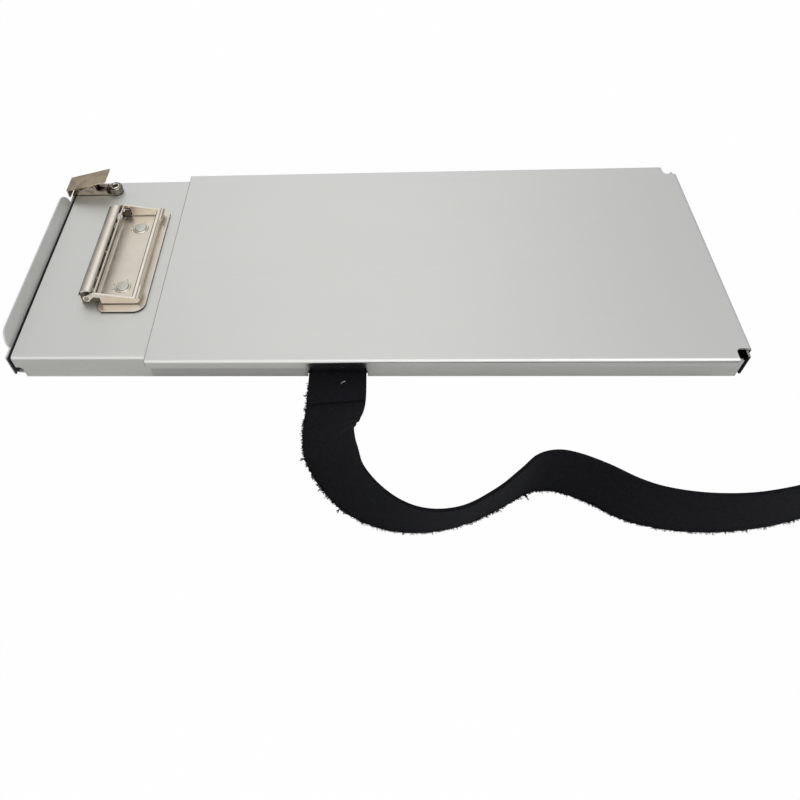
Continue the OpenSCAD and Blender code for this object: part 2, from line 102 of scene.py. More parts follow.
def rolledAluminium(name, shadeBands, bright=None, metal=1.0):
    look = sheetMetal
    material, tree, shader, place = newMaterial(name, {"Metallic": metal})
    across = 1 / (look["streakMm"] * mm)
    stretched = addNode(tree, "ShaderNodeMapping", {
        "Scale": (across / look["streakLength"], across, across)}, {"Vector": place}).outputs[0]
    streaks = addNode(tree, "ShaderNodeTexNoise", {"Scale": 1.0, "Detail": 3.0, "Roughness": 0.55},
                      {"Vector": stretched}).outputs["Fac"]
    clouds = addNode(tree, "ShaderNodeTexNoise", {"Scale": 1 / (look["cloudMm"] * mm), "Detail": 2.0},
                     {"Vector": place}).outputs["Fac"]
    both = addNode(tree, "ShaderNodeMix", {"Factor": look["cloudShare"]}, {
        "A": streaks, "B": clouds}, data_type="FLOAT").outputs["Result"]
    low, high = look["rampAt"]
    shade = addNode(tree, "ShaderNodeValToRGB", links={"Fac": both},
                    stops=[(low, look["dull"]), (high, look["colour"])]).outputs["Color"]
    cells = addNode(tree, "ShaderNodeTexVoronoi", {"Scale": 1 / (look["speckEveryMm"] * mm)},
                    {"Vector": place}).outputs["Distance"]
    reach = look["speckMm"] / look["speckEveryMm"]
    speck = addNode(tree, "ShaderNodeMapRange", {
        "From Min": reach * look["speckCore"], "From Max": reach, "To Min": 1.0, "To Max": 0.0},
        {"Value": cells}).outputs[0]
    marked = addNode(tree, "ShaderNodeMix", {"B": linear(look["speck"])},
                     {"Factor": speck, "A": shade}, data_type="RGBA").outputs["Result"]
    tree.links.new(withPaintedShade(tree, marked, place, shadeBands), shader.inputs["Base Color"])
    rough = addNode(tree, "ShaderNodeMapRange", {
        "From Min": 0.3, "From Max": 0.7, "To Min": look["rough"] + look["roughSpread"],
        "To Max": look["rough"] - look["roughSpread"]}, {"Value": both}).outputs[0]
    if bright:
        rough = addNode(tree, "ShaderNodeMix", {"B": look["brightRough"]}, {
            "A": rough, "Factor": shareWithin(tree, place, bright)}, data_type="FLOAT").outputs["Result"]
    tree.links.new(rough, shader.inputs["Roughness"])
    grain = addNode(tree, "ShaderNodeTexNoise", {"Scale": 1 / (look["grainMm"] * mm), "Detail": 2.0},
                    {"Vector": place}).outputs["Fac"]
    bump = addNode(tree, "ShaderNodeBump", {"Strength": look["grainStrength"],
                   "Distance": look["grainHeight"] * mm}, {"Height": grain})
    tree.links.new(bump.outputs[0], shader.inputs["Normal"])
    return material


# clip steel, stamped and bright nickel plated: a warm mirror gone slightly soft, with faint
# mottling and hairlines; the tab is darker; the small clip's folds and eyelet are painted dark as shade,
# its curl painted bright as a highlight, the gussets painted near black as shadow, and dark spots round
# each rivet as the shade of punched dents
plating = {"rampAt": (0.34, 0.56), "hairMm": 0.3846, "hairLengthMm": 7.692, "hairHeight": 0.01,
           "hairStrength": 0.12}
clipSteel = {"colour": "#e2dacf", "mottleAndShade": "#d9d0c4", "rough": 0.2, "roughSpread": 0.05, "cloudMm": 14}
plateSteel = {"colour": "#ece4d8", "mottleAndShade": "#e4dbcf", "rough": 0.4, "roughSpread": 0.05, "cloudMm": 14}
tabSteel = {"colour": "#c8b79e", "mottleAndShade": "#b2a28c", "rough": 0.3, "roughSpread": 0.05, "cloudMm": 5}
# the small clip's folds: dark colour painted as the shade and dark reflections they show
cheekSteelShaded = {"colour": "#a4978a", "mottleAndShade": "#6f655b", "rough": 0.2, "roughSpread": 0.06, "cloudMm": 4}
# the eyelet: dark colour painted as its dark reflection
ringSteelShaded = {"colour": "#8a837a", "mottleAndShade": "#57514b", "rough": 0.18, "roughSpread": 0.06, "cloudMm": 3}
# the curl: pale colour painted as the eyelet's bright crescent highlight
curlSteelHighlight = {"colour": "#e2ded6", "mottleAndShade": "#c3bdb2", "rough": 0.16, "roughSpread": 0.04, "cloudMm": 3}
# the gussets: near-black colour painted as the shadow at the guard's ends
gussetSteelShadow = {"colour": "#6a6357", "mottleAndShade": "#4f4940", "rough": 0.3, "roughSpread": 0.05, "cloudMm": 4}
rivetPlaces = [(-125.6, -22.1), (-125.6, 24.7)]
# dark spots painted round each rivet as the shade held in punched dents
dentShadeSpots = {"height": 14.8, "radius": 5.5, "angles": [76, 157, 197], "size": 0.42, "dark": "#5d564c"}


def platedSteel(name, look, shadeBands, marks=None):
    material, tree, shader, place = newMaterial(name, {"Metallic": 1.0})
    clouds = addNode(tree, "ShaderNodeTexNoise", {"Scale": 1 / (look["cloudMm"] * mm), "Detail": 4.0},
                     {"Vector": place}).outputs["Fac"]
    low, high = plating["rampAt"]
    shade = addNode(tree, "ShaderNodeValToRGB", links={"Fac": clouds},
                    stops=[(low, look["mottleAndShade"]), (high, look["colour"])]).outputs["Color"]
    across, along = (1 / (plating[size] * mm) for size in ("hairMm", "hairLengthMm"))
    stretched = addNode(tree, "ShaderNodeMapping", {"Scale": (across, along, across)},
                        {"Vector": place}).outputs[0]
    hairs = addNode(tree, "ShaderNodeTexNoise", {"Scale": 1.0, "Detail": 3.0},
                    {"Vector": stretched}).outputs["Fac"]
    # painted shade: dark spots where punched dents would hold shade
    if marks:
        dentShades = None
        for x, y in rivetPlaces:
            for angle in marks["angles"]:
                a = math.radians(angle)
                spot = [(x + marks["radius"] * math.cos(a)) * mm,
                        (y + marks["radius"] * math.sin(a)) * mm, marks["height"] * mm]
                far = addNode(tree, "ShaderNodeVectorMath", {1: spot}, {0: place},
                              operation="DISTANCE").outputs["Value"]
                dentShadeSpot = addNode(tree, "ShaderNodeMapRange", {
                    "From Min": 0.5 * marks["size"] * mm, "From Max": marks["size"] * mm,
                    "To Min": 1.0, "To Max": 0.0}, {"Value": far}).outputs[0]
                dentShades = dentShadeSpot if dentShades is None else addNode(tree, "ShaderNodeMath", links={
                    0: dentShades, 1: dentShadeSpot}, operation="MAXIMUM").outputs[0]
        shade = addNode(tree, "ShaderNodeMix", {"B": linear(marks["dark"])},
                        {"Factor": dentShades, "A": shade}, data_type="RGBA").outputs["Result"]
    tree.links.new(withPaintedShade(tree, shade, place, shadeBands), shader.inputs["Base Color"])
    rough = addNode(tree, "ShaderNodeMapRange", {
        "From Min": 0.3, "From Max": 0.7, "To Min": look["rough"] - look["roughSpread"],
        "To Max": look["rough"] + look["roughSpread"]}, {"Value": clouds})
    tree.links.new(rough.outputs[0], shader.inputs["Roughness"])
    bump = addNode(tree, "ShaderNodeBump", {"Strength": plating["hairStrength"],
                   "Distance": plating["hairHeight"] * mm}, {"Height": hairs})
    tree.links.new(bump.outputs[0], shader.inputs["Normal"])
    return material


# small parts, drawn wire, turned pins and peened rivets: grey metal with fine lines in its
# highlight, paler where it is aluminium
drawn = {"lineMm": 0.4, "lineHeight": 0.02, "lineStrength": 0.2, "rampAt": (0.35, 0.65)}


def drawnSteel(name, colour, dark, rough):
    material, tree, shader, place = newMaterial(name, {"Metallic": 1.0, "Roughness": rough})
    lines = addNode(tree, "ShaderNodeTexNoise", {"Scale": 1 / (drawn["lineMm"] * mm), "Detail": 3.0},
                    {"Vector": place}).outputs["Fac"]
    low, high = drawn["rampAt"]
    shade = addNode(tree, "ShaderNodeValToRGB", links={"Fac": lines},
                    stops=[(low, dark), (high, colour)]).outputs["Color"]
    tree.links.new(shade, shader.inputs["Base Color"])
    bump = addNode(tree, "ShaderNodeBump", {"Strength": drawn["lineStrength"],
                   "Distance": drawn["lineHeight"] * mm}, {"Height": lines})
    tree.links.new(bump.outputs[0], shader.inputs["Normal"])
    return material


# strap cloth, black nylon with a knitted loop pile: matt black that drinks the light, with a
# faint bluish sheen where the loops stand; the loops are drawn coarse enough to show
loopPile = {"colour": "#0b0b0f", "high": "#16161b", "sheen": "#8d8f9c", "rampAt": (0.3, 0.62),
            "loopMm": 0.75, "tuftMm": 2.2, "tuftShare": 0.45, "depthMm": 0.3, "strength": 0.8}


def nylonPile(name, look):
    material, tree, shader, place = newMaterial(name, {
        "Roughness": 0.95, "Sheen Weight": 0.06, "Sheen Roughness": 0.6, "Specular IOR Level": 0.12,
        "Sheen Tint": linear(look["sheen"])})
    cloth = addNode(tree, "ShaderNodeUVMap", uv_map="laid").outputs["UV"]
    rows = addNode(tree, "ShaderNodeTexVoronoi", {"Scale": 1 / (look["loopMm"] * mm), "Randomness": 0.7},
                   {"Vector": cloth}, distance="EUCLIDEAN").outputs["Distance"]
    tufts = addNode(tree, "ShaderNodeTexNoise", {"Scale": 1 / (look["tuftMm"] * mm), "Detail": 5.0},
                    {"Vector": cloth}).outputs["Fac"]
    height = addNode(tree, "ShaderNodeMix", {"Factor": look["tuftShare"]}, {
        "A": rows, "B": tufts}, data_type="FLOAT").outputs["Result"]
    low, high = look["rampAt"]
    shade = addNode(tree, "ShaderNodeValToRGB", links={"Fac": height},
                    stops=[(low, look["high"]), (high, look["colour"])]).outputs["Color"]
    tree.links.new(shade, shader.inputs["Base Color"])
    bump = addNode(tree, "ShaderNodeBump", {"Strength": look["strength"],
                   "Distance": look["depthMm"] * mm}, {"Height": height}, invert=True)
    tree.links.new(bump.outputs[0], shader.inputs["Normal"])
    return material


# single nylon threads: the same black, a touch brighter where a round fibre turns to the light
thread = {"twistMm": 0.5, "rampAt": (0.35, 0.7)}


def nylonThread(name, colour, pale):
    material, tree, shader, place = newMaterial(name, {"Roughness": 0.7, "Specular IOR Level": 0.2})
    twist = addNode(tree, "ShaderNodeTexNoise", {"Scale": 1 / (thread["twistMm"] * mm), "Detail": 2.0},
                    {"Vector": place}).outputs["Fac"]
    low, high = thread["rampAt"]
    shade = addNode(tree, "ShaderNodeValToRGB", links={"Fac": twist},
                    stops=[(low, colour), (high, pale)]).outputs["Color"]
    tree.links.new(shade, shader.inputs["Base Color"])
    return material


# painted shade: dark colours put at fixed places where shade and dark reflections fall, in the gap by the
# lip, inside the notch, on the wall under the cover's flange and on its hem, along the cover's edges, round
# the clip's plate and ears, on the roll's edges, under the lever and along its bar, and under the small
# clip's tab
paintedShade = {"lip": ("#232323", [("X", -172.6, -172.0), ("X", -172.8, -173.2), ("Z", 13.0, 14.0)]),
            "wall": ("#cfcecd", [("Z", 8.8, 9.2), ("X", -103.6, -104.6), ("X", -25, 5)]),
            "notch": ("#1c1c1c", [("X", 171.9, 171.7), ("Y", -60, -59), ("Z", 13.3, 14.0)]),
            "coverSide": ("#a2a2a0", [("X", 174.55, 173.9)]),
            "coverEnd": ("#858583", [("X", -104.35, -104.1)]),
            "coverHem": ("#85858a", [("Z", 9.15, 9.45), ("X", -25, 5)]),
            "clipRim": ("#26221d", [("Z", 14.6, 14.73)]),
            "rollBack": ("#3e3a33", [("X", -143.6, -142.7), ("Z", 20.3, 19.3)]),
            "rollEdge": ("#3b372f", [("X", -137.62, -137.85)]),
            "earNear": ("#26231e", [("X", -135.9, -135.3), ("Y", -31.6, -31.2)]),
            "earFar": ("#38342d", [("X", -135.9, -135.3), ("Y", 34.2, 33.8)]),
            "leverFoot": ("#3b372f", [("Z", 15.32, 15.55)]),
            "leverBar": ("#5a544a", [("X", -117.35, -117.1), ("X", -117.65, -117.8),
                                     ("Y", 35.2, 35.6), ("Y", -32.6, -33.0)]),
            "tabRim": ("#24201c", [("Z", 14.3, 14.45)])}


def paintedShades(*names):
    return [paintedShade[name] for name in names]


# the folds along the front are burnished by the press brake and shine more
brightFold = {"channel": [("Y", -69.0, -68.4), ("Z", 12.2, 13.2)],
              "cover": [("Y", -72.4, -71.7), ("Z", 13.7, 14.7)]}
# each material below mixes in the painted shade bands named for it
channelSheet = rolledAluminium("rolled_mill_aluminium", paintedShades("wall"), brightFold["channel"])
panSheet = rolledAluminium("rolled_mill_aluminium_pan", paintedShades("lip", "notch"), metal=0.78)
coverSheet = rolledAluminium("rolled_mill_aluminium_cover",
                             paintedShades("coverEnd", "coverHem", "coverSide", "notch"), brightFold["cover"])
stopSheet = rolledAluminium("rolled_mill_aluminium_stop", [])
baseNickel = platedSteel("nickel_plated_stamped_steel", plateSteel,
                         paintedShades("clipRim", "earNear", "earFar"), dentShadeSpots)
leverNickel = platedSteel("nickel_plated_folded_lever", clipSteel, paintedShades("leverFoot", "leverBar"))
guardNickel = platedSteel("nickel_plated_curled_steel", plateSteel, [])
jawNickel = platedSteel("nickel_plated_rolled_steel", clipSteel, paintedShades("rollBack", "rollEdge"))
tabNickel = platedSteel("nickel_plated_spring_steel_tab", tabSteel, [])
cornerNickel = platedSteel("nickel_plated_folded_steel", cheekSteelShaded, paintedShades("tabRim"))
ringNickel = platedSteel("nickel_eyelet_painted_dark", ringSteelShaded, [])
gussetNickel = platedSteel("gusset_steel_painted_shadow", gussetSteelShadow, [])
curlHighlightNickel = platedSteel("eyelet_curl_painted_highlight", curlSteelHighlight, [])
pinSteel = drawnSteel("turned_steel_pin", "#b9b2a8", "#8d867c", 0.3)
leafSteel = drawnSteel("bright_rolled_spring_strip", "#c9c4ba", "#8f897f", 0.25)
wireSteel = drawnSteel("drawn_spring_wire", "#8a847c", "#4d4944", 0.35)
rivetMetal = drawnSteel("peened_aluminium_rivet", "#dad8d2", "#c9c7c1", 0.36)
loopNylon = nylonPile("knitted_loop_pile_nylon", loopPile)
fibreNylon = nylonThread("drawn_nylon_fibre", "#101013", "#1c1c21")
stitchNylon = nylonThread("twisted_nylon_thread", "#1d1d20", "#34343a")
lintThread = nylonThread("loose_lint_fibre", "#8f8f90", "#a9a9aa")


def dress(nodeName, material):
    piece = nodes[nodeName]
    if not piece.data.materials:
        piece.data.materials.append(material)
    for slot in piece.material_slots:
        slot.material = material


for nodeName, material in [("cover_stop", stopSheet), ("main_clip_pin", pinSteel),
                           ("main_clip_rivets", rivetMetal), ("corner_clip_pin", pinSteel),
                           ("strap_washers", rivetMetal), ("strap_rivets", rivetMetal)]:
    dress(nodeName, material)
print("materials made")


# formed metal pieces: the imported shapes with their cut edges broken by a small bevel
edgeBreak = {"merge": 0.002, "flat": 0.6, "sharp": 32, "steps": 2, "smooth": 38}


def brokenEdges(nodeName, pieceName, body, material, width):
    piece = bpy.data.objects.new(pieceName, nodes[nodeName].data.copy())
    scene.collection.objects.link(piece)
    piece.data.materials.clear()
    piece.data.materials.append(material)
    bm = bmesh.new()
    bm.from_mesh(piece.data)
    bmesh.ops.remove_doubles(bm, verts=bm.verts, dist=edgeBreak["merge"] * mm)
    bmesh.ops.dissolve_limit(bm, angle_limit=math.radians(edgeBreak["flat"]),
                             verts=bm.verts, edges=bm.edges)
    keen = [e for e in bm.edges if len(e.link_faces) == 2
            and e.calc_face_angle(0) > math.radians(edgeBreak["sharp"])]
    bmesh.ops.bevel(bm, geom=keen, offset=width * mm, offset_type="OFFSET", segments=edgeBreak["steps"],
                    profile=0.5, affect="EDGES", clamp_overlap=True, material=-1)
    bmesh.ops.remove_doubles(bm, verts=bm.verts, dist=edgeBreak["merge"] * mm)
    for face in bm.faces:
        face.smooth = True
        face.material_index = 0
    bm.to_mesh(piece.data)
    bm.free()
    piece.data.set_sharp_from_angle(angle=math.radians(edgeBreak["smooth"]))
    piece.modifiers.new("even light", "WEIGHTED_NORMAL").keep_sharp = True
    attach(piece, body)
    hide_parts(nodeName)


for nodeName, pieceName, body, material, slotName, width in [
        ("housing_channel", "box_channel", "housing", channelSheet, "box_sheet", 0.15),
        ("floor_pan", "box_pan", "housing", panSheet, "box_sheet", 0.15),
        ("sliding_cover", "box_cover", "cover", coverSheet, "cover_sheet", 0.15),
        ("main_clip_base", "clip_base", "housing", baseNickel, "clip_nickel", 0.15),
        ("main_clip_jaw", "clip_jaw", "clip_jaw", jawNickel, "clip_nickel", 0.15),
        ("main_clip_lever", "clip_lever", "clip_lever", leverNickel, "clip_nickel", 0.2),
        ("corner_clip_base", "corner_base", "housing", cornerNickel, "corner_nickel", 0.1),
        ("corner_clip_lever", "corner_lever", "corner_lever", tabNickel, "corner_nickel", 0.1),
        ("corner_clip_spring", "corner_leaf", "housing", leafSteel, "spring_steel", 0.05),
        ("corner_clip_rivet", "corner_eyelet", "housing", ringNickel, "corner_nickel", 0.1)]:
    brokenEdges(nodeName, pieceName, body, material, width)
print("metal pieces made")


def vertsOf(geometry):
    return [g for g in geometry if isinstance(g, bmesh.types.BMVert)]


def edgesOf(verts):
    return list(dict.fromkeys(e for v in verts for e in v.link_edges))


def closeHoles(bm):
    bmesh.ops.holes_fill(bm, edges=[e for e in bm.edges if e.is_boundary], sides=0)


# turns a finished bmesh into a piece that rides on a body; smooth is in degrees
def finished(name, bm, material, body, smooth=40):
    bmesh.ops.recalc_face_normals(bm, faces=bm.faces)
    for face in bm.faces:
        face.smooth = True
    mesh = bpy.data.meshes.new(name)
    bm.to_mesh(mesh)
    bm.free()
    mesh.materials.append(material)
    mesh.set_sharp_from_angle(angle=math.radians(smooth))
    piece = bpy.data.objects.new(name, mesh)
    scene.collection.objects.link(piece)
    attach(piece, body)
    return piece


# the jaw's two return springs, each a close coil round the hinge pin with two short legs
coil = {"pin": (-140.6, 1.3, 18.5), "spacing": 10, "meanRadius": 1.8, "wireRadius": 0.34,
        "halfLength": 2.16, "startAngle": 100, "turning": 2190, "steps": 98, "legs": (2.2, 2.4)}
pin = Vector(coil["pin"])


def wireCoil(bm, centre):
    a = math.radians(coil["startAngle"])
    b = math.radians(coil["startAngle"] - coil["turning"])
    start = Vector((coil["meanRadius"] * math.sin(a), coil["halfLength"], coil["meanRadius"] * math.cos(a)))
    startWay = Vector((math.cos(a), 0, -math.sin(a)))
    endWay = Vector((-math.cos(b), 0, math.sin(b)))
    ring = bmesh.ops.create_circle(bm, segments=8, radius=coil["wireRadius"] * mm,
                                   matrix=Matrix.Translation((centre + start) * mm)
                                   @ startWay.to_track_quat("Z", "Y").to_matrix().to_4x4())["verts"]
    edges = edgesOf(ring)
    step = Vector((0, -2 * coil["halfLength"] / coil["steps"], 0)) * mm
    turned = bmesh.ops.spin(bm, geom=ring + edges, cent=centre * mm, axis=(0, -1, 0), dvec=step,
                            angle=math.radians(coil["turning"]), steps=coil["steps"])["geom_last"]
    lastEdges = [g for g in turned if isinstance(g, bmesh.types.BMEdge)]
    for rim, way, length in [(edges, startWay, coil["legs"][0]), (lastEdges, endWay, coil["legs"][1])]:
        leg = bmesh.ops.extrude_edge_only(bm, edges=rim)["geom"]
        bmesh.ops.translate(bm, vec=way * length * mm, verts=vertsOf(leg))


bm = bmesh.new()
for side in (-1, 1):
    wireCoil(bm, pin + Vector((0, side * coil["spacing"], 0)))
closeHoles(bm)
coils = finished("clip_coils", bm, wireSteel, "housing")
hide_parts("main_clip_springs")
print("springs made")

# a guard rising from the clip's plate in a scoop, which hides the springs behind it
guard = {"foot": (4.6, -3.74), "run": 1.5, "rise": 2.0, "upTo": 82, "length": 66.4, "thick": 0.45,
         "steps": 14}
bm = bmesh.new()
bmesh.ops.create_grid(bm, x_segments=guard["steps"], y_segments=1, size=0.5)
for v in bm.verts:
    a = math.radians((v.co.x + 0.5) * guard["upTo"])
    v.co = (pin + Vector((guard["foot"][0] - guard["run"] * math.sin(a), v.co.y * guard["length"],
                          guard["foot"][1] + guard["rise"] * (1 - math.cos(a))))) * mm
bmesh.ops.solidify(bm, geom=bm.faces[:], thickness=guard["thick"] * mm)
finished("clip_guard", bm, guardNickel, "housing")

# gussets that close the guard's two ends, painted near black as the shadow there
gusset = {"outline": [(2.4, -3.74), (7.6, -3.74), (7.6, 1.0), (5.0, 1.2), (4.7, -0.2), (3.1, 0),
                      (2.7, -0.4)], "off": 33.7, "thick": 0.4}
bm = bmesh.new()
for side in (-1, 1):
    face = bm.faces.new([bm.verts.new((pin + Vector((x, side * gusset["off"], z))) * mm)
                         for x, z in gusset["outline"]])
    grown = bmesh.ops.extrude_face_region(bm, geom=[face])["geom"]
    bmesh.ops.translate(bm, vec=(0, side * gusset["thick"] * mm, 0), verts=vertsOf(grown))
finished("clip_gussets", bm, gussetNickel, "housing")

# broad flat button heads over the clip's two rivets
button = {"radius": 3.2, "low": 14.7, "high": 15.85, "rounding": 0.4, "steps": 4, "sides": 48}
bm = bmesh.new()
middle = (button["high"] + button["low"]) / 2
for x, y in rivetPlaces:
    head = bmesh.ops.create_cone(bm, cap_ends=True, segments=button["sides"],
                                 radius1=button["radius"] * mm, radius2=button["radius"] * mm,
                                 depth=(button["high"] - button["low"]) * mm,
                                 matrix=Matrix.Translation(Vector((x, y, middle)) * mm))["verts"]
    rim = [e for e in edgesOf(head) if all(v.co.z > middle * mm for v in e.verts)]
    bmesh.ops.bevel(bm, geom=rim, offset=button["rounding"] * mm, offset_type="OFFSET",
                    segments=button["steps"], profile=0.5, affect="EDGES", clamp_overlap=True, material=-1)
finished("clip_rivet_heads", bm, rivetMetal, "housing")

# a curled end inside the corner clip's eyelet, painted bright as the eyelet's crescent highlight
curl = {"centre": (-147.5, 60, 17.75), "radius": 2.15, "wire": 0.5, "start": 200, "turning": 295,
        "steps": 30, "sides": 10}
bm = bmesh.new()
centre = Vector(curl["centre"])
place = Matrix.Translation(centre * mm) @ Matrix.Rotation(math.radians(curl["start"]), 4, "Z")
ring = bmesh.ops.create_circle(bm, segments=curl["sides"], radius=curl["wire"] * mm,
                               matrix=place @ Matrix.Translation((curl["radius"] * mm, 0, 0))
                               @ Matrix.Rotation(math.radians(90), 4, "X"))["verts"]
bmesh.ops.spin(bm, geom=ring + edgesOf(ring), cent=centre * mm, axis=(0, 0, 1),
               angle=math.radians(curl["turning"]), steps=curl["steps"])
closeHoles(bm)
finished("corner_curl", bm, curlHighlightNickel, "housing")
print("clip details made")


# the strap's lower edge runs through x, y, z and a tilt in degrees, from root to free end
strap = {"width": 27.5, "thick": 1.4, "rootEnd": 4, "rootThick": 1.1, "gap": 0.15,
         "hookLength": 4, "hookShort": 1 / 3, "hookSide": 1.5, "hookThick": 1.0, "runs": 330,
         "layerRuns": 40, "lanes": 12, "ragged": 0.28, "seed": 11, "smooth": 50,
         "route": [[-27, -24, 1, 0], [-27, -48, 1, 0], [-27, -70, 1, 0], [-27, -79, 0.2, 2],
                   [-27, -88.3, 0, 9], [-27.6, -100.2, 0, 20], [-27.2, -110, 0, 29],
                   [-24.5, -120, 0, 37], [-17.6, -131.6, 0, 50], [-7.6, -142.2, 0, 66],
                   [6, -148.8, 0, 84], [20, -150.8, 0, 98], [34, -149, 0, 102],
                   [48, -143.6, 0, 98], [59.5, -137, 0, 93], [68, -131.8, 0, 89],
                   [76, -130.4, 0, 87], [84, -132, 0, 87], [94, -136.8, 0, 87],
                   [104, -143, 0, 87], [114, -146.4, 0, 88], [128, -148.6, 0, 88],
                   [144, -148.4, 0, 88], [160, -146, 0, 87], [175, -142, 0, 86],
                   [190, -137, 0, 86], [204, -130, 0, 88], [216, -120, 0, 90],
                   [224, -107, 0, 90], [227, -92, 0, 90]]}
last = len(strap["route"]) - 1
onBand = strap["thick"] + strap["gap"]   # height of a second layer's underside


def routeAt(u):
    # a smooth curve through the route's points; u counts the points
    route = strap["route"]
    i = min(int(u), last - 1)
    t = u - i
    a, b, c, d = route[max(i - 1, 0)], route[i], route[i + 1], route[min(i + 2, last)]
    return [0.5 * (2 * q + (r - p) * t + (2 * p - 5 * q + 4 * r - s) * t * t
            + (3 * q - p - 3 * r + s) * t ** 3) for p, q, r, s in zip(a, b, c, d)]


def strapPoint(u, side, off):
    # side is the distance up from the lower edge, off the distance out from the back face
    p, before, after = routeAt(u), routeAt(max(u - 0.1, 0)), routeAt(min(u + 0.1, last))
    along = Vector((after[0] - before[0], after[1] - before[1], 0)).normalized()
    tilt = math.radians(max(p[3], 0))
    across = Vector((-along.y * math.cos(tilt), along.x * math.cos(tilt), math.sin(tilt)))
    face = along.cross(across)
    lift = strap["thick"] * max(0, -math.cos(tilt))
    edge = Vector((p[0], p[1], max(p[2], 0) + lift))
    return (edge + side * across + off * face) * mm, across, face, along


def placesAlong(u0, u1, side, off, pitch):
    # even places along the strap at one distance from its lower edge
    found, gone, u = [], pitch / 2, u0
    before = strapPoint(u0, side, off)[0]
    while u < u1:
        u += 0.01
        here = strapPoint(u, side, off)[0]
        gone += (here - before).length / mm
        before = here
        if gone >= pitch:
            found.append(u)
            gone = 0
    return found


def standAt(u, side, off, turn=0):
    # a frame on the strap: x along it, y across, z off its face
    place, across, face, along = strapPoint(u, side, off)
    axes = Matrix((along, across, face)).transposed().to_4x4()
    return Matrix.Translation(place) @ axes @ Matrix.Rotation(turn, 4, "Z")


# loose loop fibres that stand out of the cut edge, in small tufts; a few are wild and long
fuzz = {"kinds": 12, "fibres": 4, "radius": 0.13, "pieces": 3, "reach": (0.3, 0.6), "foot": 0.4,
        "start": 2.6, "pitch": 0.23, "side": 0.3, "off": (0.7, 1.3), "sizes": [0.6, 0.8, 1.0, 1.3],
        "wild": 0.02, "wildSize": 1.8, "splay": 80, "turn": 6.28, "seed": 5}


def makeTuft(chance):
    bm = bmesh.new()
    for fibre in range(fuzz["fibres"]):
        ring = bmesh.ops.create_circle(bm, segments=3, radius=fuzz["radius"] * mm)["verts"]
        rim = edgesOf(ring)
        bmesh.ops.translate(bm, verts=ring, vec=Vector((chance.uniform(-fuzz["foot"], fuzz["foot"]),
                            chance.uniform(-fuzz["foot"], fuzz["foot"]), 0)) * mm)
        heading = Vector((chance.uniform(-0.9, 0.9), chance.uniform(-0.9, 0.9), 1)).normalized()
        for piece in range(fuzz["pieces"]):
            out = bmesh.ops.extrude_edge_only(bm, edges=rim)["geom"]
            tip = vertsOf(out)
            rim = [g for g in out if isinstance(g, bmesh.types.BMEdge)
                   and all(v in tip for v in g.verts)]
            bmesh.ops.translate(bm, verts=tip, vec=heading * chance.uniform(*fuzz["reach"]) * mm)
            heading = (heading + Vector((chance.uniform(-1, 1), chance.uniform(-1, 1),
                                         chance.uniform(-0.9, 0.4)))).normalized()
        bmesh.ops.holes_fill(bm, edges=rim, sides=0)
    return bm


chance = random.Random(fuzz["seed"])
tufts = [makeTuft(chance) for kind in range(fuzz["kinds"])]
bm = bmesh.new()
spare = bpy.data.meshes.new("spare")
for u in placesAlong(fuzz["start"], last, 0, strap["thick"] / 2, fuzz["pitch"]):
    tuft = chance.choice(tufts).copy()
    size = chance.choice(fuzz["sizes"]) * (fuzz["wildSize"] if chance.random() < fuzz["wild"] else 1)
    # a tuft points off the lower edge, and along the ground where the strap stands upright
    upright = abs(strapPoint(u, 0, 0)[1].z)
    splay = Matrix.Rotation(math.radians(90 - fuzz["splay"] * upright), 4, "X")
    place = (standAt(u, fuzz["side"], chance.uniform(*fuzz["off"])) @ splay
             @ Matrix.Rotation(chance.uniform(0, fuzz["turn"]), 4, "Z") @ Matrix.Scale(size, 4))
    bmesh.ops.transform(tuft, matrix=place, verts=tuft.verts)
    tuft.to_mesh(spare)
    bm.from_mesh(spare)
    tuft.free()
edgeFuzz = finished("strap_fuzz", bm, fibreNylon, "housing", 80)
print("fuzz made,", len(edgeFuzz.data.polygons), "faces")


# stitches that hold the root layer and the hook patch
stitch = {"length": 2.3, "width": 0.5, "height": 0.34, "pitch": 3.0, "inset": 2.4, "hookInset": 2.5,
          "root": (0.12, 1.9), "hook": (0.2, 0.5)}


def sewnBorder(bm, u0, u1, inset, off):
    sides = (inset, strap["width"] - inset)
    frames = [standAt(u, side, off) for side in sides
              for u in placesAlong(u0, u1, side, off, stitch["pitch"])]
    count = int((sides[1] - sides[0]) / stitch["pitch"])
    frames += [standAt(u, sides[0] + (i + 0.5) * (sides[1] - sides[0]) / count, off, math.pi / 2)
               for u in (u0, u1) for i in range(count)]
    shape = Matrix.Diagonal((stitch["length"] / 2, stitch["width"] / 2, stitch["height"] / 2, 1))
    for place in frames:
        bmesh.ops.create_uvsphere(bm, u_segments=6, v_segments=4, radius=mm, matrix=place @ shape)


bm = bmesh.new()
sewnBorder(bm, *stitch["root"], stitch["inset"], onBand + strap["rootThick"])
sewnBorder(bm, last - strap["hookLength"] + stitch["hook"][0], last - stitch["hook"][1],
           stitch["hookInset"], onBand + strap["hookThick"])
stitches = finished("strap_stitches", bm, stitchNylon, "housing", 80)

# one pale fibre of lint caught on the strap, near the wall
lint = {"at": (2.6, 16.2), "height": 0.1, "length": 2.4, "radius": 0.36, "taper": 0.4, "turn": -52,
        "bend": 1.6}
bm = bmesh.new()
place = standAt(*lint["at"], onBand + strap["rootThick"] + lint["height"], math.radians(lint["turn"]))
bmesh.ops.create_cone(bm, cap_ends=True, segments=6, radius1=lint["radius"] * mm,
                      radius2=lint["taper"] * lint["radius"] * mm, depth=lint["length"] * mm,
                      matrix=place @ Matrix.Rotation(math.radians(90), 4, "Y"))
bmesh.ops.subdivide_edges(bm, edges=[e for e in bm.edges if e.calc_length() > mm], cuts=3)
for v in bm.verts:
    bend = (place.inverted() @ v.co).x / (lint["length"] * mm)
    v.co += place.to_3x3() @ Vector((0, lint["bend"] * bend * bend, 0)) * mm
lintFibre = finished("strap_lint", bm, lintThread, "housing", 80)

